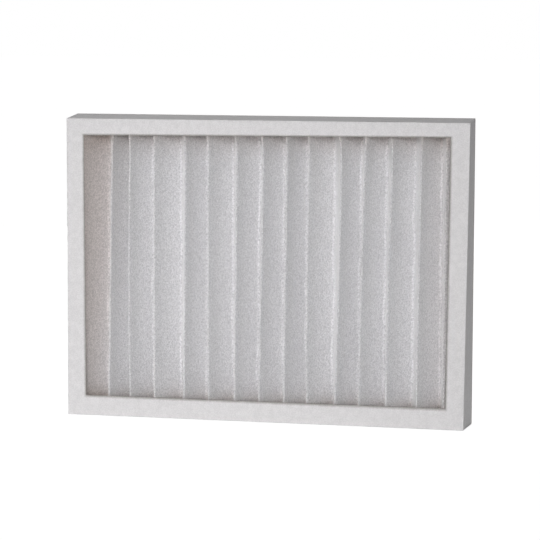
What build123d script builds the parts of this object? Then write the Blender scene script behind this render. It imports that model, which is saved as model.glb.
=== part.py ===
from build123d import *
import math
import os

# Pleated panel air filter for a ventilation duct.
#
# One sheet of nonwoven felt, folded into upright pleats, stands in a frame made of two
# board trays. The front tray has full-depth walls. The back tray is nested inside it, so
# the frame is double-walled and the pack is shut in between the two window flanges. The
# cut ends of the pleats are bedded in adhesive along all four sides, so no air goes round.
#
# Millimetres. +X runs along the long side, +Y from the face where the air enters to the
# face where it leaves, and +Z is up. The filter stands on its long bottom edge, and the
# origin is the middle of that edge's outer face.

# ---- outer size of the frame
outer_width = 495.0
outer_height = 370.0
outer_depth = 45.0

# ---- frame board
board = 0.8  # thickness of the board
fold_radius = 1.0  # outside of each fold, which is creased sharp on the inside
side_flange = 22.0  # face of the frame left and right of the window
top_flange = 18.5
bottom_flange = 24.5
window_corner = 1.5  # radius of the die that cuts the window's corners
tab_length = 25.0  # glued tab at each corner, lapped inside the end wall
tab_setback = 2.0  # gap from a tab to the panel and to the wall's raw edge
corner_seam = 0.4  # gap between a corner fold and the end wall's raw edge
nest_clearance = 0.1  # adhesive film between the two trays
back_recess = 0.5  # depth of the back panel inside the front tray's raw edges
back_wall_depth = 38.0  # how far the back tray reaches into the front one

# ---- folded felt
felt = 1.6  # thickness of the sheet
pleat_fold_inside = 0.3  # radius on the inside of each pleat fold
pleat_pitch = 32.0  # usual distance from crest to crest
valley_share = 0.6  # where a valley lies between its two crests, 0.5 being halfway
crest_clearance = 0.3  # from a fold to the flange before or behind it
# How far each crest has wandered from its even place, from left to right.
crest_wander = (-1.0, 1.5, -5.5, -7.0, -1.5, -4.0, -2.0, -3.0, -5.0, -9.5, -5.5, -8.0, -7.5, -4.5, -5.0)

# ---- adhesive
bead_height = 2.5  # thickness of the bead along the top and the bottom
bead_floor = 1.0  # adhesive left between a pleat's cut end and the wall
bead_setback = 1.0  # from a bead to the front edge of the back tray's wall
end_gap = 1.5  # adhesive between the sheet's end leg and the tabs of the end wall
strip_depth = 8.0  # how far the adhesive strips at the two ends reach forward
strip_cover = 1.0  # adhesive on the inner side of the sheet's end leg

# ---- planes and sizes that follow
front_face = -outer_depth / 2
back_face = outer_depth / 2
front_panel_inside = front_face + board
back_panel_outside = back_face - back_recess
back_panel_inside = back_panel_outside - board
back_wall_edge = back_panel_outside - back_wall_depth

lap = board + nest_clearance
back_width = outer_width - 2 * (lap + board)  # clears the front tray's tabs
back_height = outer_height - 2 * lap
room_half_width = back_width / 2 - 2 * board  # between the back tray's own tabs
room_bottom = lap + board
room_top = outer_height - lap - board

window_width = outer_width - 2 * side_flange
window_height = outer_height - top_flange - bottom_flange
window_middle = bottom_flange + window_height / 2


def block(x0, x1, y0, y1, z0, z1):
    """A plain block between two opposite corners."""
    size = Box(x1 - x0, y1 - y0, z1 - z0)
    return Pos((x0 + x1) / 2, (y0 + y1) / 2, (z0 + z1) / 2) * size


def folded_block(width, panel_y, edge_y, z0, z1):
    """The outside of a tray: a block rounded at the folds round its panel and its corners."""
    body = block(-width / 2, width / 2, *sorted((panel_y, edge_y)), z0, z1)
    corner_folds = body.edges().filter_by(Axis.Y)
    panel = body.faces().filter_by(Plane.XZ).sort_by(lambda face: abs(face.center().Y - panel_y))[0]
    return fillet(corner_folds + panel.edges(), fold_radius)


def tray(width, height, panel_outside, open_edge):
    """One die-cut blank folded into a tray: a panel with a window, four walls and four tabs.

    The top and bottom walls end in tabs that turn round the corners and are glued inside
    the end walls. The end walls' raw edges stop just short of those corner folds.
    """
    inward = math.copysign(1.0, open_edge - panel_outside)
    panel_inside = panel_outside + inward * board
    z0 = (outer_height - height) / 2
    z1 = z0 + height
    past_edge = open_edge + inward * board
    wall_inside = width / 2 - board
    hollow_y = sorted((panel_inside, past_edge))
    hollow = block(-wall_inside, wall_inside, *hollow_y, z0 + board, z1 - board)
    folded = folded_block(width, panel_outside, open_edge, z0, z1) - hollow

    tab_y = sorted((panel_inside + inward * tab_setback, open_edge - inward * tab_setback))
    seam_y = sorted((panel_outside + inward * fold_radius, past_edge))
    for side in (-1, 1):
        tab_x = sorted((side * wall_inside, side * (wall_inside - board)))
        seam_x = sorted((side * width / 2, side * wall_inside))
        for corner, into in ((z0, 1), (z1, -1)):
            tab_z = sorted((corner + into * board / 2, corner + into * (board + tab_length)))
            seam_z = sorted((corner + into * fold_radius, corner + into * (fold_radius + corner_seam)))
            folded -= block(*seam_x, *seam_y, *seam_z)
            folded += block(*tab_x, *tab_y, *tab_z)
    return folded - window(panel_outside)


def window(panel_y):
    """The tool that cuts the window, straight through a panel at this depth."""
    opening = RectangleRounded(window_width, window_height, window_corner)
    through = extrude(Plane.XZ * opening, amount=2 * board, both=True)
    return Pos(0, panel_y, window_middle) * through


def fold_centres():
    """Centres of all the folds from left to right, a valley at each end, crests between.

    The first and last are where the sheet's end legs meet the end walls.
    """
    outside = pleat_fold_inside + felt
    end = room_half_width - end_gap
    crest_y = front_panel_inside + crest_clearance + outside
    valley_y = back_panel_inside - crest_clearance - outside
    count = round(2 * end / pleat_pitch)
    pitch = 2 * end / count
    wander = [crest_wander[k % len(crest_wander)] for k in range(count)]
    crests = [-end + (k + 0.5) * pitch + wander[k] for k in range(count)]
    valleys = [a + valley_share * (b - a) for a, b in zip(crests, crests[1:])]
    valleys = [-end] + valleys + [end]
    centres = [Vector(valleys[0], valley_y)]
    for crest, valley in zip(crests, valleys[1:]):
        centres += [Vector(crest, crest_y), Vector(valley, valley_y)]
    return centres


def sheet_side(centres, shift):
    """One side of the folded sheet in plan: straight legs joined by arcs round the centres.

    Each leg is the tangent that passes from one side of a fold's circle to the other side
    of the next. shift is the distance from the middle of the sheet, half its thickness
    towards the front or, if negative, towards the back.
    """
    radius = pleat_fold_inside + felt / 2
    legs = []
    turn = 1  # +1 on a leg that runs forward from a valley to a crest, -1 on one that runs back
    for here, there in zip(centres, centres[1:]):
        across = there - here
        swing = turn * math.degrees(math.asin(2 * radius / across.length))
        along = across.normalized().rotate(Axis.Z, -swing)
        normal = along.rotate(Axis.Z, 90)
        start = here + normal * (turn * radius + shift)
        finish = there + normal * (-turn * radius + shift)
        legs.append((start, finish))
        turn = -turn
    lines = [Line(*leg) for leg in legs]
    arcs = []
    for centre, before, after in zip(centres[1:], legs, legs[1:]):
        reach = (before[1] - centre).length
        top = math.copysign(reach, before[1].Y - before[0].Y)
        arcs.append(ThreePointArc(before[1], centre + Vector(0, top), after[0]))
    return lines, arcs, legs


def folded_felt():
    """The pleated sheet, one closed outline in plan, drawn up between the two beads."""
    centres = fold_centres()
    left_lines, left_arcs, left_legs = sheet_side(centres, felt / 2)
    right_lines, right_arcs, right_legs = sheet_side(centres, -felt / 2)
    first_end = Line(left_legs[0][0], right_legs[0][0])
    last_end = Line(left_legs[-1][1], right_legs[-1][1])
    outline = left_lines + left_arcs + right_lines + right_arcs + [first_end, last_end]
    z0 = room_bottom + bead_floor
    z1 = room_top - bead_floor
    return Pos(0, 0, z0) * extrude(make_face(outline), amount=z1 - z0)


def adhesive(x0, x1, y0, y1, z0, z1):
    """A bar of adhesive that has set round the felt and against the back tray."""
    return block(x0, x1, y0, y1, z0, z1) - pleated_felt - back_tray


front_tray = tray(outer_width, outer_height, front_face, back_face)
back_tray = tray(back_width, back_height, back_panel_outside, back_wall_edge)
pleated_felt = folded_felt()

bead_x = (-room_half_width, room_half_width)
bead_y = (back_wall_edge + bead_setback, back_panel_inside)
top_glue_bead = adhesive(*bead_x, *bead_y, room_top - bead_height, room_top)
bottom_glue_bead = adhesive(*bead_x, *bead_y, room_bottom, room_bottom + bead_height)

strip_outer = back_width / 2 - board
strip_inner = room_half_width - end_gap - pleat_fold_inside - felt - strip_cover
strip_y = (back_panel_inside - strip_depth, back_panel_inside)
strip_z = (room_bottom + bead_height, room_top - bead_height)
left_glue_strip = adhesive(-strip_outer, -strip_inner, *strip_y, *strip_z)
right_glue_strip = adhesive(strip_inner, strip_outer, *strip_y, *strip_z)

pieces = {
    "front_tray": front_tray,
    "back_tray": back_tray,
    "pleated_felt": pleated_felt,
    "top_glue_bead": top_glue_bead,
    "bottom_glue_bead": bottom_glue_bead,
    "left_glue_strip": left_glue_strip,
    "right_glue_strip": right_glue_strip,
}

os.makedirs("parts", exist_ok=True)
for name, piece in pieces.items():
    export_step(piece, f"parts/{name}.step")
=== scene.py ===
# %% [markdown]
# # A pleated panel air filter
# This filter sits across a duct and catches dust. One sheet of nonwoven felt is folded into
# upright pleats and held in a frame of white board. The lesson builds what the eye sees of
# it: the two board trays, the felt, and the adhesive that the pleats stand in. Each piece is
# a surface worked out with numpy, and each finish is a small network of shader nodes.
#
# The construction model is loaded first and is the reference for every size and place.

# %% Load the construction model
import math
import bpy
import numpy as np
from mathutils import Matrix, Vector


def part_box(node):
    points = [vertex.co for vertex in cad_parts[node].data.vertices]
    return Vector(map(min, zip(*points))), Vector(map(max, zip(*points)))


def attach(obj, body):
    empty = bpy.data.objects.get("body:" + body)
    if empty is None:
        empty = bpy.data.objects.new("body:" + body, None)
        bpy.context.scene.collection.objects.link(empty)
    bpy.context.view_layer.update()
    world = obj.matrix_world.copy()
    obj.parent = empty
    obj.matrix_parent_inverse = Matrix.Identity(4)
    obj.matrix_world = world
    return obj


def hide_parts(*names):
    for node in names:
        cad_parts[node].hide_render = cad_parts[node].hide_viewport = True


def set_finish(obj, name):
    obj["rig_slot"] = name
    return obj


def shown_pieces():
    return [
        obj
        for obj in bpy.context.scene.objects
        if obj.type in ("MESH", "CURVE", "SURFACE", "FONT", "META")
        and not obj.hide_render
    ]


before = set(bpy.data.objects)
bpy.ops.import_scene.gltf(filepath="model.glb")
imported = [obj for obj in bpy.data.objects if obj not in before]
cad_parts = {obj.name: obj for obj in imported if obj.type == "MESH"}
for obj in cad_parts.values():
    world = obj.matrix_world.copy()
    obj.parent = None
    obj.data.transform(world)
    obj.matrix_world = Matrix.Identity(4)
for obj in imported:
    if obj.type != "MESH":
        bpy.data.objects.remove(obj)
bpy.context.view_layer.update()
MM = 0.001

# %% [markdown]
# ## Sizes that the pieces share
# The outer size comes from the model. Board thickness and fold radius are the maker's
# values. They are needed again here because a surface that bends round an edge must know
# how sharp the edge is.

# %% Shared sizes
outer_low, outer_high = (np.array(corner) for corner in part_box("front_tray"))
width, depth, height = outer_high - outer_low
board = 0.8 * MM
fold_radius = 1.0 * MM
print(f"frame {width / MM:.0f} x {height / MM:.0f} x {depth / MM:.0f} mm, board {board / MM:.1f} mm")

# %% [markdown]
# ## A frame that is slightly out of true
# A folded board frame is never quite square. The front of this one is drawn down a little
# at the top and drawn in at the lower right corner, while the back has nearly kept its
# shape. The push at each of the eight corners is a small vector, and every point in between
# moves by the trilinear mix of the eight. All pieces pass through this one function, so
# they stay together. A lattice modifier could do it too, but the formula is exact and easy
# to read.

# %% Push at the corners
# Sideways and upward push in millimetres at (left, right) x (bottom, top), front then back.
front_push = np.array([[[0.0, 0.0], [0.5, -4.5]], [[-4.0, 0.0], [0.0, -3.2]]]) * MM
back_push = np.array([[[0.0, 0.0], [0.5, -1.0]], [[0.0, 0.0], [0.0, 0.0]]]) * MM


def out_of_true(points):
    """Moves points with the frame: push = sum over corners of weight * corner push.

    With a, b, c running from 0 to 1 across, up and back, a corner's weight is the product
    of a or 1 - a, b or 1 - b, and c or 1 - c.
    """
    a, c, b = np.moveaxis(np.clip((points - outer_low) / (outer_high - outer_low), 0, 1), -1, 0)
    across = np.stack([1 - a, a], axis=-1)
    up = np.stack([1 - b, b], axis=-1)
    front = np.einsum("...i,...j,ijk->...k", across, up, front_push)
    back = np.einsum("...i,...j,ijk->...k", across, up, back_push)
    push = front * (1 - c)[..., None] + back * c[..., None]
    moved = points.copy()
    moved[..., 0] += push[..., 0]
    moved[..., 2] += push[..., 1]
    return moved


print("largest push", np.abs(front_push).max() / MM, "mm")

# %% [markdown]
# ## From a grid of points to a mesh
# Every new surface here is a grid: a function of two parameters, evaluated for all of them
# at once. A grid becomes a mesh by joining each point with its neighbours. A grid can close
# on itself in either direction, as a tube or a ring does, and a tube can have its two ends
# shut. The ends are shaded flat, so that the edge round them stays crisp.

# %% Grid to mesh
def end_strips(rows, columns):
    """Quads that shut both ends of a tube: a strip across each, from one half to the other."""
    k = np.arange(columns // 2 - 1)
    last_row = np.stack([k, k + 1, columns - 2 - k, columns - 1 - k], axis=-1)
    return np.concatenate([last_row[:, ::-1], last_row + (rows - 1) * columns])


def grid_piece(name, grid, close_rows=False, close_columns=False, shut_ends=False):
    """Makes a piece from an array of points [rows, columns, 3], in quads, smooth but for its ends."""
    rows, columns = grid.shape[:2]
    number = np.arange(rows * columns).reshape(rows, columns)
    if close_rows:
        number = np.concatenate([number, number[:1]], axis=0)
    if close_columns:
        number = np.concatenate([number, number[:, :1]], axis=1)
    quads = np.stack([number[:-1, :-1], number[:-1, 1:], number[1:, 1:], number[1:, :-1]], axis=-1)
    quads = quads.reshape(-1, 4)
    smooth = np.ones(len(quads), dtype=bool)
    if shut_ends:
        ends = end_strips(rows, columns)
        quads = np.concatenate([quads, ends])
        smooth = np.concatenate([smooth, np.zeros(len(ends), dtype=bool)])
    mesh = bpy.data.meshes.new(name)
    mesh.from_pydata(grid.reshape(-1, 3), [], quads)
    mesh.polygons.foreach_set("use_smooth", smooth)
    piece = bpy.data.objects.new(name, mesh)
    bpy.context.scene.collection.objects.link(piece)
    print(name, "has", len(mesh.polygons), "quads")
    return piece


def carry(piece, node, slot):
    """Lets a new piece stand for a node of the construction model and move with it."""
    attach(piece, "root")
    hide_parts(node)
    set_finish(piece, slot)


def put_attribute(piece, name, values):
    """Stores one number for each point of a mesh, for its material to read."""
    layer = piece.data.attributes.new(name, "FLOAT", "POINT")
    layer.data.foreach_set("value", np.ascontiguousarray(values, dtype=np.float32).ravel())


# %% [markdown]
# ## Rings for the trays
# A tray is a flat panel with a window, folded over into four walls. Going round it, every
# section is the same profile: along the panel, round the fold, down the wall, over the raw
# edge and back inside. So a tray is a stack of rings, each a rectangle with round corners.
# Modelling it as a box with bevels would work too, but rings put points exactly where the
# folds, the seams and the raw edges need them.
#
# On the two end walls a seam runs beside each corner, where the tab of the top or bottom
# wall goes in behind. Two points a hair apart make each edge of a seam sharp.

# %% A ring with stations along its sides
corner_steps = 4
side_spacing = 4.0 * MM
seam_width = 0.4 * MM
hair = 0.02 * MM


def side_stations(length):
    """Shares of a side's length at which a ring has points, with a pair at each seam edge."""
    share = seam_width / length
    lip = hair / length
    plain = np.linspace(share + lip, 1 - share - lip, max(2, round(length / side_spacing)))
    return np.concatenate([[0, lip, share], plain, [1 - share, 1 - lip, 1]])


def ring_parameters():
    """For one turn round a tray: each point's side, share along it, share of the arc, seam mask."""
    across = side_stations(width - 2 * fold_radius)
    along = side_stations(height - 2 * fold_radius)
    pieces = []
    for side, stations in enumerate((across, along, across, along)):
        mask = np.zeros(len(stations))
        if side % 2:
            mask[[1, 2, -3, -2]] = 1
        pieces.append((np.full(len(stations), side), stations, np.zeros(len(stations)), mask))
        arc = np.linspace(0, 1, corner_steps + 1)[1:-1]
        pieces.append((np.full(len(arc), side), np.ones(len(arc)), arc, np.zeros(len(arc))))
    return [np.concatenate(column) for column in zip(*pieces)]


def ring_points(side, share, arc, half_w, half_h, radius):
    """Points of a round-cornered rectangle, for arrays of sides and arrays of sizes at once.

    Side 0 runs along the bottom to the right, 1 up the right, 2 along the top to the left
    and 3 down the left. A point is the end of its side's straight run, then turned through
    arc * 90 degrees about the corner's centre.
    """
    side, share, arc = (value[None, :] for value in (side, share, arc))
    half_w, half_h, radius = (np.asarray(value)[:, None] for value in (half_w, half_h, radius))
    turn = side * math.pi / 2
    reach = np.where(side % 2 == 0, half_w, half_h) - radius
    away = np.where(side % 2 == 0, half_h, half_w)
    swing = arc * math.pi / 2
    run = reach * (2 * share - 1) + radius * np.sin(swing)
    out = away - radius * (1 - np.cos(swing))
    x = run * np.cos(turn) + out * np.sin(turn)
    z = run * np.sin(turn) - out * np.cos(turn)
    return x, z


side_of, share_of, arc_of, seam_of = ring_parameters()
print("each ring has", len(side_of), "points")

# %% [markdown]
# ## The window
# The window is cut by a die before the blank is folded, and the cut is a little out of
# square with the folds. So the border's width is given at each corner, and the outline in
# between is a bilinear mix of the four corners.

# %% Window outline
# Border beside and below or above the window, in mm, at (left, right) x (bottom, top).
window_border = np.array([[[23.6, 25.2], [22.0, 20.8]], [[22.8, 26.0], [23.2, 17.6]]]) * MM
window_corner = 1.5 * MM


def window_ring():
    """The window's outline in the frame's own plane, one point for each point of a ring.

    With a and b running from 0 to 1 across and up, a point is the sum over corners of
    weight * corner, and a corner's weight is a or 1 - a times b or 1 - b.
    """
    x, z = ring_points(side_of, share_of, arc_of, [width / 2], [height / 2], [window_corner])
    a, b = x[0] / width + 0.5, z[0] / height + 0.5
    outer = np.array([[[-1, 0], [-1, 1]], [[1, 0], [1, 1]]]) * [width / 2, height]
    inward = np.array([[[1, 1], [1, -1]], [[-1, 1], [-1, -1]]])
    corners = outer + inward * window_border
    return np.einsum("in,jn,ijk->nk", np.stack([1 - a, a]), np.stack([1 - b, b]), corners)


opening = window_ring()
print("window spans", np.round(np.ptp(opening, axis=0) / MM, 1), "mm")

# %% [markdown]
# ## The tray's profile
# The profile is a list of rings: from the window's edge out over the panel, round the fold,
# along the wall to its raw edge, and back inside to the window. One ring after another,
# with the last joined to the first, they are the whole closed skin of the folded blank. A
# Solidify modifier on an open sheet could give the thickness, but the cut edges have a
# colour of their own, and here each of them is a known ring.

# %% Tray surface
panel_steps, wall_steps, fold_steps = 8, 12, 6
seam_depth = 0.9 * board


def wall_rings(low, high, panel_y, edge_y, inward):
    """Rings of the folded walls as [rings, points, 3], outside and then inside.

    Round the fold the outline grows by r * sin(t) and sinks by r * (1 - cos(t)), for t from
    0 to 90 degrees. The inside is the same outline, smaller by the board's thickness.
    """
    fold = np.linspace(0, math.pi / 2, fold_steps)
    wall_y = np.linspace(panel_y + inward * fold_radius, edge_y, wall_steps)[1:]
    inset = np.concatenate([
        fold_radius * (1 - np.sin(fold)),
        np.zeros(len(wall_y)),
        np.full(wall_steps, board),
    ])
    ring_y = np.concatenate([
        panel_y + inward * fold_radius * (1 - np.cos(fold)),
        wall_y,
        np.linspace(edge_y, panel_y + inward * board, wall_steps),
    ])
    radius = np.maximum(fold_radius - inset, hair)
    half_w, half_h = (high[0] - low[0]) / 2, (high[2] - low[2]) / 2
    x, z = ring_points(side_of, share_of, arc_of, half_w - inset, half_h - inset, radius)
    y = np.repeat(ring_y[:, None], x.shape[1], axis=1)
    rings = np.stack([x, y, z + (high[2] + low[2]) / 2], axis=-1)

    # The seam: the end walls' raw edges stop short of the corner folds.
    on_wall = np.zeros(len(ring_y))
    on_wall[fold_steps:fold_steps + len(wall_y)] = 1
    groove = on_wall[:, None] * seam_of[None, :] * seam_depth
    rings[..., 0] -= np.sign(rings[..., 0]) * groove
    return rings


def tray_grid(node):
    """The whole skin of a tray as [rings, points, 3], with a mask that is 1 on the cut edges."""
    low, high = (np.array(corner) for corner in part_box(node))
    if node == "front_tray":
        panel_y, edge_y, inward = low[1], high[1], 1.0
    else:
        panel_y, edge_y, inward = high[1], low[1], -1.0
    walls = wall_rings(low, high, panel_y, edge_y, inward)
    outside = np.stack([opening[:, 0], np.full(len(opening), panel_y), opening[:, 1]], axis=-1)
    inside = outside + np.array([0, inward * board, 0])
    share = np.linspace(0, 1, panel_steps)[:-1, None, None]
    panel = outside + share * (walls[0] - outside)
    lining = inside + share[::-1] * (walls[-1] - inside)
    grid = np.concatenate([panel, walls, lining], axis=0)
    raw_edge = len(panel) + len(walls) - wall_steps - 1
    cut = np.zeros(grid.shape[:2])
    cut[[0, -1, raw_edge, raw_edge + 1]] = 1
    return grid, cut


def make_tray(node, name):
    """Makes one tray. The front tray's rings are taken in reverse, so its faces look outward too."""
    grid, cut = tray_grid(node)
    if node == "front_tray":
        grid, cut = grid[::-1], cut[::-1]
    tray = grid_piece(name, out_of_true(grid), close_rows=True, close_columns=True)
    put_attribute(tray, "cut_edge", cut)
    carry(tray, node, "frame_board")


make_tray("front_tray", "front_board_tray")
make_tray("back_tray", "back_board_tray")

# %% [markdown]
# ## The folds of the felt
# The construction model knows where each fold is, so the folds are read from it: the points
# that lie furthest forward are the crests, and the points that lie furthest back are the
# valleys. Points closer together than a few millimetres belong to the same fold.

# %% Read the folds from the model
at_face = 0.05 * MM
same_fold = 5 * MM


def fold_lines(node, furthest):
    """Places across of the folds at one face of the pack: the clusters of extreme points."""
    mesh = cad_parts[node].data
    points = np.empty(len(mesh.vertices) * 3)
    mesh.vertices.foreach_get("co", points)
    points = points.reshape(-1, 3)
    y = points[:, 1]
    edge = y.min() if furthest == "front" else y.max()
    found = np.sort(points[np.abs(y - edge) < at_face, 0])
    splits = np.flatnonzero(np.diff(found) > same_fold) + 1
    return np.array([group.mean() for group in np.split(found, splits)])


crest_x = fold_lines("pleated_felt", "front")
valley_x = fold_lines("pleated_felt", "back")
print(len(crest_x), "crests at", np.round(crest_x / MM, 1))
print(len(valley_x), "valleys at", np.round(valley_x / MM, 1))

# %% [markdown]
# ## How each fold strays
# Real folds aren't quite straight. A fold's line is described by three small numbers: how
# far its top stands to the right of its foot, how far its middle bows to the right, and how
# far its top end is drawn aside where the adhesive holds it. The valleys follow their
# neighbours part of the way. A few sine waves on top of that give the small unevenness of a
# sheet folded by machine.

# %% Stray of the folds
# From the left, one value for each crest, in millimetres.
crest_lean = [2.0, 5.0, 0.5, -0.5, 1.5, -2.0, 1.5, 3.5, 1.5, 0.5, 4.0, 4.0, 3.5, 0.5, -2.5]
crest_bow = [0.5, 0.2, -1.6, -0.6, 0.3, -0.3, -0.2, 0.2, -0.5, -1.5, 1.4, -0.9, -0.9, 0.1, -0.8]
crest_draw = [0.0, 1.5, -1.0, -1.0, -2.8, -1.4, -3.2, -3.0, -2.0, -2.0, -2.8, -0.5, -2.6, 0.5, -0.8]
draw_reach = 12 * MM
window_foot = 24.5 * MM
window_head = 18.5 * MM
crest_wave, crest_wave_lengths = 0.08 * MM, (30 * MM, 120 * MM)
valley_wave, valley_wave_lengths = 0.5 * MM, (40 * MM, 160 * MM)
valley_follows = 0.35
chance = np.random.default_rng(7)


def stray(z):
    """Sideways stray of the crests at heights z: lean * h + bow * (1 - 4 h^2) + draw * exp(-d / reach).

    h runs from -0.5 to 0.5 over the window, and d is the distance below its top edge.
    """
    low, high = window_foot, height - window_head
    h = (z - low) / (high - low) - 0.5
    below = np.clip(high - z, 0, None)
    lean, bow, draw = (np.array(value)[:, None] * MM for value in (crest_lean, crest_bow, crest_draw))
    return lean * h + bow * (1 - 4 * h**2) + draw * np.exp(-below / draw_reach)


def small_waves(z, count, size, shortest, longest, waves=5):
    """Smooth noise along z for each of several lines: a sum of sines of random length and phase."""
    length = chance.uniform(shortest, longest, (count, waves, 1))
    phase = chance.uniform(0, 2 * math.pi, (count, waves, 1))
    return size * np.sin(2 * math.pi * z / length + phase).sum(axis=1) / math.sqrt(waves / 2)


felt_low, felt_high = (np.array(corner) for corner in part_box("pleated_felt"))
felt_rows = 88
felt_z = np.linspace(felt_low[2], felt_high[2], felt_rows)
crest_stray = stray(felt_z)
crest_line = crest_x[:, None] + crest_stray
crest_line = crest_line + small_waves(felt_z, len(crest_x), crest_wave, *crest_wave_lengths)
valley_line = valley_x[:, None] + valley_follows * (crest_stray[:-1] + crest_stray[1:])
valley_line = valley_line + small_waves(felt_z, len(valley_x), valley_wave, *valley_wave_lengths)
print("largest stray", round(np.abs(crest_line - crest_x[:, None]).max() / MM, 1), "mm")

# %% [markdown]
# ## The folded line
# At any height the sheet is a line in plan: straight legs that are tangent to a small
# circle at each crest and to a larger one at each valley, because the crests are pinched by
# the creasing blade and the valleys spring open. The legs bow a little, so the troughs are
# rounder than a plain V, and the last leg, which isn't folded back again, bulges forward.
#
# A cloth simulation could fold such a sheet, but it would spring where it liked. Here each
# fold has a known place, and the line is worked out for all heights at once.

# %% Fold centres and legs
felt = 1.6 * MM
pinched_felt = 0.9 * MM
crest_radius = 0.55 * MM
valley_radius = 3.2 * MM
leg_bow = 1.8 * MM
last_leg_bow = -5.0 * MM
leg_steps, crest_steps, valley_steps = 9, 7, 8


def fold_centres():
    """Centres [height, fold, (x, y)] and radii of the folds, from the left.

    Odd ones are crests and even ones valleys. The first and last are the sheet's two ends.
    """
    count = 2 * len(crest_x) + 1
    radius = np.full(count, valley_radius)
    radius[1::2] = crest_radius
    radius[[0, -1]] = 0.0
    centre = np.empty((felt_rows, count, 2))
    centre[:, 1::2, 0] = crest_line.T
    centre[:, 2:-1:2, 0] = valley_line.T
    centre[:, 0, 0] = felt_low[0] + felt / 2
    centre[:, -1, 0] = felt_high[0] - felt / 2
    centre[:, :, 1] = felt_high[1] - felt / 2 - radius
    centre[:, 1::2, 1] = felt_low[1] + pinched_felt / 2 + crest_radius
    return centre, radius


def tangent_legs(centre, radius):
    """Start, finish and normal [height, leg, (x, y)] of the straight legs, and their turns.

    Between two fold centres at distance d, with circles ra and rb on opposite sides, the
    leg makes the angle asin((ra + rb) / d) with the line of centres.
    """
    across = centre[:, 1:] - centre[:, :-1]
    distance = np.hypot(across[..., 0], across[..., 1])
    turn = np.where(np.arange(len(radius) - 1) % 2 == 0, 1.0, -1.0)
    swing = np.arcsin((radius[1:] + radius[:-1]) / distance) * turn
    heading = np.arctan2(across[..., 1], across[..., 0]) - swing
    normal = np.stack([-np.sin(heading), np.cos(heading)], axis=-1)
    start = centre[:, :-1] + normal * (turn * radius[:-1])[:, None]
    finish = centre[:, 1:] - normal * (turn * radius[1:])[:, None]
    return start, finish, normal, turn


def bowed_legs(start, finish, normal):
    """Leg points [height, leg, station, (x, y)]: straight leg + normal * bow * sin(pi * t)."""
    t = np.linspace(0, 1, leg_steps)[:, None]
    bow = np.full(start.shape[1], leg_bow)
    bow[-1] = last_leg_bow
    straight = start[:, :, None] + (finish - start)[:, :, None] * t
    return straight + normal[:, :, None] * bow[:, None, None] * np.sin(math.pi * t)


def fold_arc(centre, begin, end, radius, way, steps):
    """Points [height, station, (x, y)] round one fold, between the ends of its two legs."""
    a, b = begin - centre, end - centre
    angle_a = np.arctan2(a[:, 1], a[:, 0])
    angle_b = np.arctan2(b[:, 1], b[:, 0])
    sweep = np.mod((angle_b - angle_a) * way, 2 * math.pi) * way
    share = np.linspace(0, 1, steps + 2)[1:-1]
    angle = angle_a[:, None] + sweep[:, None] * share
    return centre[:, None] + radius * np.stack([np.cos(angle), np.sin(angle)], axis=-1)


def sheet_line():
    """The middle of the sheet as points [height, station, (x, y)]: leg, fold, leg and so on."""
    centre, radius = fold_centres()
    start, finish, normal, turn = tangent_legs(centre, radius)
    legs = bowed_legs(start, finish, normal)
    parts = [legs[:, 0]]
    for k in range(1, legs.shape[1]):
        steps = crest_steps if k % 2 else valley_steps
        parts.append(fold_arc(centre[:, k], finish[:, k - 1], start[:, k], radius[k], turn[k - 1], steps))
        parts.append(legs[:, k])
    return np.concatenate(parts, axis=1)


middle = sheet_line()
developed = np.linalg.norm(np.diff(middle, axis=1), axis=-1).sum(axis=1).mean()
print("sheet line has", middle.shape[1], "stations at", middle.shape[0], "heights")
print("laid flat, the sheet is", round(developed / MM), "mm long")

# %% [markdown]
# ## The felt with its thickness
# The line is offset by half the felt's thickness to each side, and the two sides together
# are one tube, shut at its top and foot. The felt is thinner at the crests, where the blade
# has pinched it, so each crest is a fine sharp ridge. Solidify would give an even thickness
# only.

# %% Felt surface
pinch_reach = 2.2 * MM


def sheet_grid(line):
    """Both faces of the sheet from its middle: p + n * t / 2 forward, p - n * t / 2 back.

    The thickness t is the felt's, less a pinch * exp(-(depth / reach)^2) at the crests.
    """
    along = np.gradient(line, axis=1)
    along /= np.linalg.norm(along, axis=-1, keepdims=True)
    normal = np.stack([along[..., 1], -along[..., 0]], axis=-1)
    depth = line[..., 1] - felt_low[1]
    thickness = felt - (felt - pinched_felt) * np.exp(-((depth / pinch_reach) ** 2))
    half = normal * thickness[..., None] / 2
    loop = np.concatenate([line + half, (line - half)[:, ::-1]], axis=1)
    z = np.repeat(felt_z[:, None], loop.shape[1], axis=1)
    return np.stack([loop[..., 0], loop[..., 1], z], axis=-1)


felt_grid = out_of_true(sheet_grid(middle))
pleated_felt = grid_piece("pleated_felt_sheet", felt_grid, close_columns=True, shut_ends=True)
carry(pleated_felt, "pleated_felt", "filter_felt")

# %% [markdown]
# ## Where the felt has drawn in adhesive, and painted shade near the frame
# The felt is white in the middle of the panel and a darker dull brown towards its edges. The
# brown is adhesive that has crept into it, and the darkening is painted shade from the
# frame's borders, strongest at the top left. How far both reach is one number for each
# point, stored on the mesh for the material to read. It fades with the distance from each
# edge, and it reaches further in at the left end, most of all high up.

# %% Soaked felt and painted shade
# Reaches of the adhesive soak and of the painted shade that darkens the felt near the frame.
top_soak_and_shade, bottom_soak_and_shade, right_soak_and_shade = 27 * MM, 20 * MM, 33 * MM
left_soak_and_shade_foot, left_soak_and_shade_head = 24.75 * MM, 44.55 * MM
right_soak_and_shade_strength = 0.4


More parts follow.
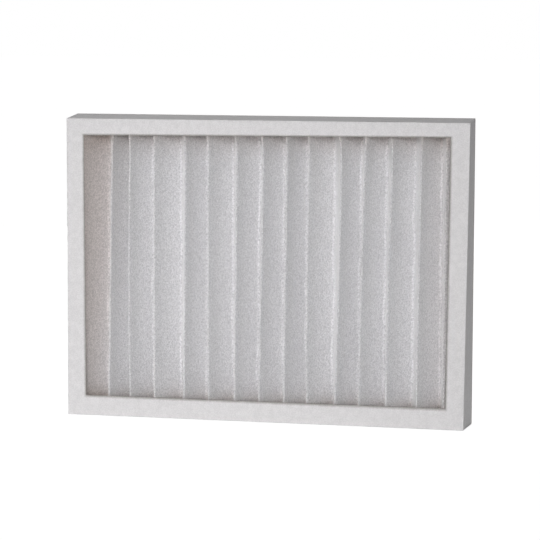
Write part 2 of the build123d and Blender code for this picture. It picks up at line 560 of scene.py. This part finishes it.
def soak_and_shade_share(points):
    """How much adhesive and painted shade lie on the felt: the sum of exp(-(distance / reach)^2), at most
    1.
    """
    x, z = points[..., 0], points[..., 2]
    left_reach = left_soak_and_shade_foot + (left_soak_and_shade_head - left_soak_and_shade_foot) * z / height
    soak_and_shade = np.exp(-(((felt_high[2] - z) / top_soak_and_shade) ** 2))
    soak_and_shade += np.exp(-(((z - felt_low[2]) / bottom_soak_and_shade) ** 2))
    soak_and_shade += np.exp(-(((x - felt_low[0]) / left_reach) ** 2))
    soak_and_shade += right_soak_and_shade_strength * np.exp(-(((felt_high[0] - x) / right_soak_and_shade) ** 2))
    return np.clip(soak_and_shade, 0, 1)


# This mask carries the adhesive stain and the painted shade near the frame's borders.
soak_and_shade = soak_and_shade_share(felt_grid)
put_attribute(pleated_felt, "soak_and_shade", soak_and_shade)
print("soaked share is", round(soak_and_shade.mean(), 2), "on the average")

# %% [markdown]
# ## The adhesive
# The cut ends of the pleats stand in a bead of adhesive along the top and bottom walls, and
# the first and last legs are stuck to the end walls. A bead is a flat bar with soft edges
# whose surface swells a little here and there. It is a tube: a rounded rectangle carried
# along a straight path, with its thickness varied by smooth noise. A curve with a bevel
# could draw the bar, but not its changing thickness.

# %% Adhesive bars
station_spacing = 8 * MM
section_points = 24
bar_swell, bar_wave_lengths = 0.12, (15 * MM, 80 * MM)


def squared(value):
    """sign(v) * |v| ^ (1 / 3): turns a circle's sine and cosine into a soft-edged square's."""
    return np.sign(value) * np.abs(value) ** (1 / 3)


def bar_grid(low, high, along, thin):
    """A bar between two corners: a superellipse section carried along one axis.

    In the section, p = half * squared(c) with c the cosine or sine of the angle, so it is
    nearly a rectangle. The thin direction is scaled by 1 - |noise|. The angle runs the way
    that makes the faces look outward.
    """
    stations = max(12, round((high[along] - low[along]) / station_spacing))
    wide = 3 - along - thin
    way = 1 if (wide - along) % 3 == 1 else -1
    angle = way * np.linspace(0, 2 * math.pi, section_points, endpoint=False)
    middle, half = (low + high) / 2, (high - low) / 2
    path = np.linspace(low[along], high[along], stations)
    noise = small_waves(path, 1, bar_swell, *bar_wave_lengths)[0]
    thickness = half[thin] * (1 - np.abs(noise))
    grid = np.zeros((stations, section_points, 3))
    grid[..., along] = path[:, None]
    grid[..., wide] = middle[wide] + half[wide] * squared(np.cos(angle))
    grid[..., thin] = middle[thin] + thickness[:, None] * squared(np.sin(angle))
    return grid


# The axis that each bar runs along, and the axis in which it is thin.
for node, along, thin in (
    ("top_glue_bead", 0, 2),
    ("bottom_glue_bead", 0, 2),
    ("left_glue_strip", 2, 0),
    ("right_glue_strip", 2, 0),
):
    low, high = (np.array(corner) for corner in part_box(node))
    bar = out_of_true(bar_grid(low, high, along, thin))
    bar = grid_piece(node + "_set", bar, close_columns=True, shut_ends=True)
    carry(bar, node, "adhesive")

# %% [markdown]
# ## One cloud for all the finishes
# Board, felt and adhesive are all made of something stirred: pulp, fibres or foam. Their
# look is noise at two sizes, a coarse one and a fine one, in different shares. One node
# group makes it, and each material sets its own sizes. It reads Object coordinates, so the
# pattern lies still on the piece and keeps its real size.

# %% Cloud group
def cloud_group():
    """Noise at a coarse and a fine size, mixed: value = coarse * share + fine * (1 - share)."""
    group = bpy.data.node_groups.new("pulp_and_fibre_cloud", "ShaderNodeTree")
    for name in ("Coarse per metre", "Fine per metre", "Coarse share"):
        group.interface.new_socket(name, in_out="INPUT", socket_type="NodeSocketFloat")
    group.interface.new_socket("Cloud", in_out="OUTPUT", socket_type="NodeSocketFloat")
    nodes, links = group.nodes, group.links
    given, result = nodes.new("NodeGroupInput"), nodes.new("NodeGroupOutput")
    place = nodes.new("ShaderNodeTexCoord")
    coarse, fine = nodes.new("ShaderNodeTexNoise"), nodes.new("ShaderNodeTexNoise")
    coarse.inputs["Detail"].default_value = 3.0
    fine.inputs["Detail"].default_value = 2.0
    mix = nodes.new("ShaderNodeMix")
    links.new(place.outputs["Object"], coarse.inputs["Vector"])
    links.new(place.outputs["Object"], fine.inputs["Vector"])
    links.new(given.outputs["Coarse per metre"], coarse.inputs["Scale"])
    links.new(given.outputs["Fine per metre"], fine.inputs["Scale"])
    links.new(given.outputs["Coarse share"], mix.inputs["Factor"])
    links.new(fine.outputs["Fac"], mix.inputs["A"])
    links.new(coarse.outputs["Fac"], mix.inputs["B"])
    links.new(mix.outputs["Result"], result.inputs["Cloud"])
    return group


cloud = cloud_group()
print("cloud group has", len(cloud.nodes), "nodes")

# %% [markdown]
# ## Helpers for the materials
# A finish here is always built the same way: a cloud, a ramp that turns it into two close
# tones, a mask from the mesh that brings in a second pair of tones, and a little bump. Each
# of these is a helper, so that a material reads as a short list. Tones are written as
# screen levels, because that is how a maker would pick them from a chart.

# %% Helpers
def srgb(*levels):
    """A colour from 0 to 255 screen levels, as the linear values that a shader takes."""
    share = np.array(levels) / 255
    linear = np.where(share <= 0.04045, share / 12.92, ((share + 0.055) / 1.055) ** 2.4)
    return (*linear, 1.0)


def start_material(name, roughness):
    """A new material with its nodes, its links and its Principled shader."""
    material = bpy.data.materials.new(name)
    material.use_nodes = True
    nodes, links = material.node_tree.nodes, material.node_tree.links
    shader = nodes["Principled BSDF"]
    shader.inputs["Roughness"].default_value = roughness
    return material, nodes, links, shader


def add_cloud(nodes, coarse, fine, share):
    """A cloud group, with the sizes of its patches given in millimetres."""
    node = nodes.new("ShaderNodeGroup")
    node.node_tree = cloud
    node.inputs["Coarse per metre"].default_value = 1000 / coarse
    node.inputs["Fine per metre"].default_value = 1000 / fine
    node.inputs["Coarse share"].default_value = share
    return node.outputs["Cloud"]


def two_tones(nodes, links, value, low, high, dark, pale):
    """A colour ramp between two colours as a value goes from low to high."""
    ramp = nodes.new("ShaderNodeValToRGB")
    ramp.color_ramp.elements[0].position = low
    ramp.color_ramp.elements[0].color = dark
    ramp.color_ramp.elements[1].position = high
    ramp.color_ramp.elements[1].color = pale
    links.new(value, ramp.inputs["Fac"])
    return ramp.outputs["Color"]


def mix_by_attribute(nodes, links, name, plain, marked):
    """A colour that goes from plain to marked as a number stored on the mesh goes from 0 to 1."""
    mask = nodes.new("ShaderNodeAttribute")
    mask.attribute_name = name
    mix = nodes.new("ShaderNodeMix")
    mix.data_type = "RGBA"
    links.new(mask.outputs["Fac"], mix.inputs["Factor"])
    links.new(plain, mix.inputs["A"])
    links.new(marked, mix.inputs["B"])
    return mix.outputs["Result"]


def add_bump(nodes, links, shader, height_value, strength, distance):
    """Bump from a height value, with its largest height in metres, into the shader's Normal."""
    bump = nodes.new("ShaderNodeBump")
    bump.inputs["Strength"].default_value = strength
    bump.inputs["Distance"].default_value = distance
    links.new(height_value, bump.inputs["Height"])
    links.new(bump.outputs["Normal"], shader.inputs["Normal"])


# %% [markdown]
# ## Board
# The board is white carton with a dull face: nearly even, with faint cloudy patches from
# the pulp. Its greyer core shows only where the die or the knife has cut it, and the mask
# on the trays' cut edges brings that tone in.

# %% Board material
def board_material():
    """White carton: two pale tones in soft clouds, a grey core at the cuts, a faint tooth."""
    material, nodes, links, shader = start_material("white_carton_board", 0.85)
    shader.inputs["Specular IOR Level"].default_value = 0.2
    cloudy = add_cloud(nodes, 7.0, 1.2, 0.35)
    face = two_tones(nodes, links, cloudy, 0.38, 0.62, srgb(220, 218, 219), srgb(234, 232, 233))
    core = two_tones(nodes, links, cloudy, 0.3, 0.7, srgb(150, 146, 142), srgb(186, 182, 178))
    tone = mix_by_attribute(nodes, links, "cut_edge", face, core)
    links.new(tone, shader.inputs["Base Color"])
    add_bump(nodes, links, shader, add_cloud(nodes, 3.0, 0.5, 0.6), 0.25, 0.0002)
    return material


board_finish = board_material()
print(board_finish.name, "has", len(board_finish.node_tree.nodes), "nodes")

# %% [markdown]
# ## Felt
# The felt is a mat of crimped fibres. It has a fine grain of paler and darker specks, and
# light goes a millimetre or two into it and comes out again, which softens the shade in the
# troughs and makes the thin crests glow. Subsurface scattering does that. Loose fibre ends
# on its surface catch light that only grazes it, and sheen stands for them. Where adhesive
# has soaked in, the tones are browner, and the same darker tones paint shade onto the felt
# near the frame.

# %% Felt material
def felt_material():
    """Nonwoven felt: grainy white, brown where soaked and darker where shade is painted, translucent,
    with sheen.
    """
    material, nodes, links, shader = start_material("nonwoven_felt", 0.95)
    grain = add_cloud(nodes, 2.6, 1.4, 0.4)
    dry = two_tones(nodes, links, grain, 0.39, 0.61, srgb(198, 197, 199), srgb(238, 237, 239))
    # Darker brown tones: adhesive stain together with painted shade near the frame.
    soaked_and_shaded = two_tones(nodes, links, grain, 0.39, 0.61, srgb(163, 151, 145), srgb(206, 193, 187))
    tone = mix_by_attribute(nodes, links, "soak_and_shade", dry, soaked_and_shaded)
    links.new(tone, shader.inputs["Base Color"])
    shader.inputs["Subsurface Weight"].default_value = 0.65
    shader.inputs["Subsurface Radius"].default_value = (1.0, 1.0, 1.0)
    shader.inputs["Subsurface Scale"].default_value = 0.002
    shader.inputs["Specular IOR Level"].default_value = 0.1
    shader.inputs["Sheen Weight"].default_value = 0.75
    shader.inputs["Sheen Roughness"].default_value = 0.6
    add_bump(nodes, links, shader, grain, 0.6, 0.0008)
    return material


felt_finish = felt_material()
print(felt_finish.name, "has", len(felt_finish.node_tree.nodes), "nodes")

# %% [markdown]
# ## Adhesive
# The adhesive is foamed while it is hot and sets to a cream-coloured, slightly glossy and
# lumpy mass. The same cloud gives its tone and its lumps.

# %% Adhesive material
def adhesive_material():
    """Foamed adhesive: cream with paler lumps, a little glossy."""
    material, nodes, links, shader = start_material("foamed_adhesive", 0.45)
    foam = add_cloud(nodes, 4.0, 0.8, 0.5)
    tone = two_tones(nodes, links, foam, 0.3, 0.7, srgb(222, 217, 203), srgb(236, 232, 221))
    links.new(tone, shader.inputs["Base Color"])
    add_bump(nodes, links, shader, foam, 0.6, 0.0005)
    return material


adhesive_finish = adhesive_material()
print(adhesive_finish.name, "has", len(adhesive_finish.node_tree.nodes), "nodes")

# %% [markdown]
# ## Each piece gets its finish
# Every piece was told its slot when it was made, and a slot is a kind of material. So the
# finishes go on by slot, and no piece can be missed.

# %% Put the finishes on
finishes = {"frame_board": board_finish, "filter_felt": felt_finish, "adhesive": adhesive_finish}
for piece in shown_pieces():
    finish = finishes[piece["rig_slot"]]
    piece.data.materials.clear()
    piece.data.materials.append(finish)
    print(piece.name, "gets", finish.name)

# %% [markdown]
# ## Floor and background
# The filter stands on a pale floor in front of a white background. A plain diffuse floor
# would come out grey, so to a ray that comes from the camera the floor glows for the most
# part, and the rest of it is the diffuse floor that takes the filter's shadow. Light that
# the floor sends back to the filter is that of a plain pale floor. The background follows
# the same rule: white to the camera, and a low even level as a light.

# %% Floor and background
floor_size = 30
floor_base = 0.8
floor_glow, floor_glow_share = 1.14, 0.85
surround_level = 0.205


def seen_rays(nodes, links):
    """1 for camera rays, mirrored rays and rays through something clear, 0 for diffuse ones."""
    path = nodes.new("ShaderNodeLightPath")
    mirrored = nodes.new("ShaderNodeMath")
    mirrored.operation = "MAXIMUM"
    links.new(path.outputs["Is Camera Ray"], mirrored.inputs[0])
    links.new(path.outputs["Is Glossy Ray"], mirrored.inputs[1])
    seen = nodes.new("ShaderNodeMath")
    seen.operation = "MAXIMUM"
    links.new(mirrored.outputs[0], seen.inputs[0])
    links.new(path.outputs["Is Transmission Ray"], seen.inputs[1])
    return seen.outputs[0]


def stage_floor():
    """A wide pale floor that glows white to the camera and still shows a shadow."""
    bpy.ops.mesh.primitive_plane_add(size=floor_size, location=(0, 0, 0))
    floor = bpy.context.object
    floor.name = "studio_floor"
    material, nodes, links, shader = start_material("white_floor", 0.9)
    shader.inputs["Base Color"].default_value = (floor_base, floor_base, floor_base, 1)
    share = nodes.new("ShaderNodeMath")
    share.operation = "MULTIPLY"
    share.inputs[1].default_value = floor_glow_share
    links.new(seen_rays(nodes, links), share.inputs[0])
    white = nodes.new("ShaderNodeEmission")
    white.inputs["Strength"].default_value = floor_glow
    mix = nodes.new("ShaderNodeMixShader")
    links.new(share.outputs[0], mix.inputs["Fac"])
    links.new(shader.outputs["BSDF"], mix.inputs[1])
    links.new(white.outputs["Emission"], mix.inputs[2])
    links.new(mix.outputs["Shader"], nodes["Material Output"].inputs["Surface"])
    floor.data.materials.append(material)


def surroundings(level):
    """Even light of one level from all round, and plain white to the camera."""
    world = bpy.data.worlds.new("studio")
    bpy.context.scene.world = world
    world.use_nodes = True
    nodes, links = world.node_tree.nodes, world.node_tree.links
    back = nodes["Background"]
    back.inputs["Color"].default_value = (1, 1, 1, 1)
    strength = nodes.new("ShaderNodeMapRange")
    strength.inputs["To Min"].default_value = level
    strength.inputs["To Max"].default_value = 1.0
    links.new(seen_rays(nodes, links), strength.inputs["Value"])
    links.new(strength.outputs["Result"], back.inputs["Strength"])


stage_floor()
surroundings(surround_level)
print("surroundings give light at level", surround_level)

# %% [markdown]
# ## Lamps
# Three wide square lamps light the filter. The front one is narrowed to a beam and aimed at
# the lower left corner, so the frame is brightest there and falls off towards the upper
# right. The side one stands low and to the right, so the legs that face right are pale and
# the others lie in soft shade. The third stands behind on the left and lights the back.
# Smaller lamps would cut hard shadows into the pleats.

# %% Lamps
def direction(azimuth, elevation):
    """A unit vector from the filter towards a place seen at these angles, from the front."""
    a, e = math.radians(azimuth), math.radians(elevation)
    return np.array([math.sin(a) * math.cos(e), -math.cos(a) * math.cos(e), math.sin(e)])


def aim(thing, place, target, roll=0.0):
    """Puts a lamp or camera at a place, looking at a target, turned by roll degrees."""
    turn = Vector(target - place).to_track_quat("-Z", "Y").to_matrix().to_4x4()
    rolled = turn @ Matrix.Rotation(math.radians(roll), 4, "Z")
    thing.matrix_world = Matrix.Translation(Vector(place)) @ rolled


def lamp(name, azimuth, elevation, distance, size, power, spread, target):
    """A square lamp aimed at a target. With a small spread, in degrees, it is a beam."""
    light = bpy.data.lights.new(name, "AREA")
    light.shape = "SQUARE"
    light.size = size
    light.energy = power
    light.spread = math.radians(spread)
    thing = bpy.data.objects.new(name, light)
    bpy.context.scene.collection.objects.link(thing)
    aim(thing, target + direction(azimuth, elevation) * distance, target)
    print(name, "gives", power, "W")


lower_left = np.array([-width / 2, 0, 0])
middle_of_filter = np.array([0, 0, height / 2])
# Name, azimuth, elevation, distance, size, power, spread and target.
lamp("front_softbox", 7, 11, 3.0, 1.6, 5.75, 45, lower_left)
lamp("side_softbox", 20, 4, 2.6, 2.2, 10, 180, middle_of_filter)
lamp("back_softbox", -155, 3, 2.4, 1.4, 46, 180, middle_of_filter)

# %% [markdown]
# ## Camera
# The camera looks at the filter from a little to the right and slightly above, through a
# long lens, so its edges stay nearly parallel. The Standard view transform is used because
# white board should come out white, without the contrast curve of a film look.

# %% Camera
view_azimuth, view_elevation, view_roll = 12.358, 6.728, 0.169
view_distance, lens = 2.854, 158.1
look_right, look_up = 7.25 * MM, 1.45 * MM
target = np.array([look_right, outer_low[1], height / 2 + look_up])
camera_data = bpy.data.cameras.new("camera")
camera_data.sensor_width = 36
camera_data.lens = lens
camera_data.clip_end = 100
camera = bpy.data.objects.new("camera", camera_data)
bpy.context.scene.collection.objects.link(camera)
aim(camera, target + direction(view_azimuth, view_elevation) * view_distance, target, view_roll)
bpy.context.scene.camera = camera
bpy.context.scene.view_settings.view_transform = "Standard"
print("camera stands at", np.round(np.array(camera.matrix_world.translation), 2))
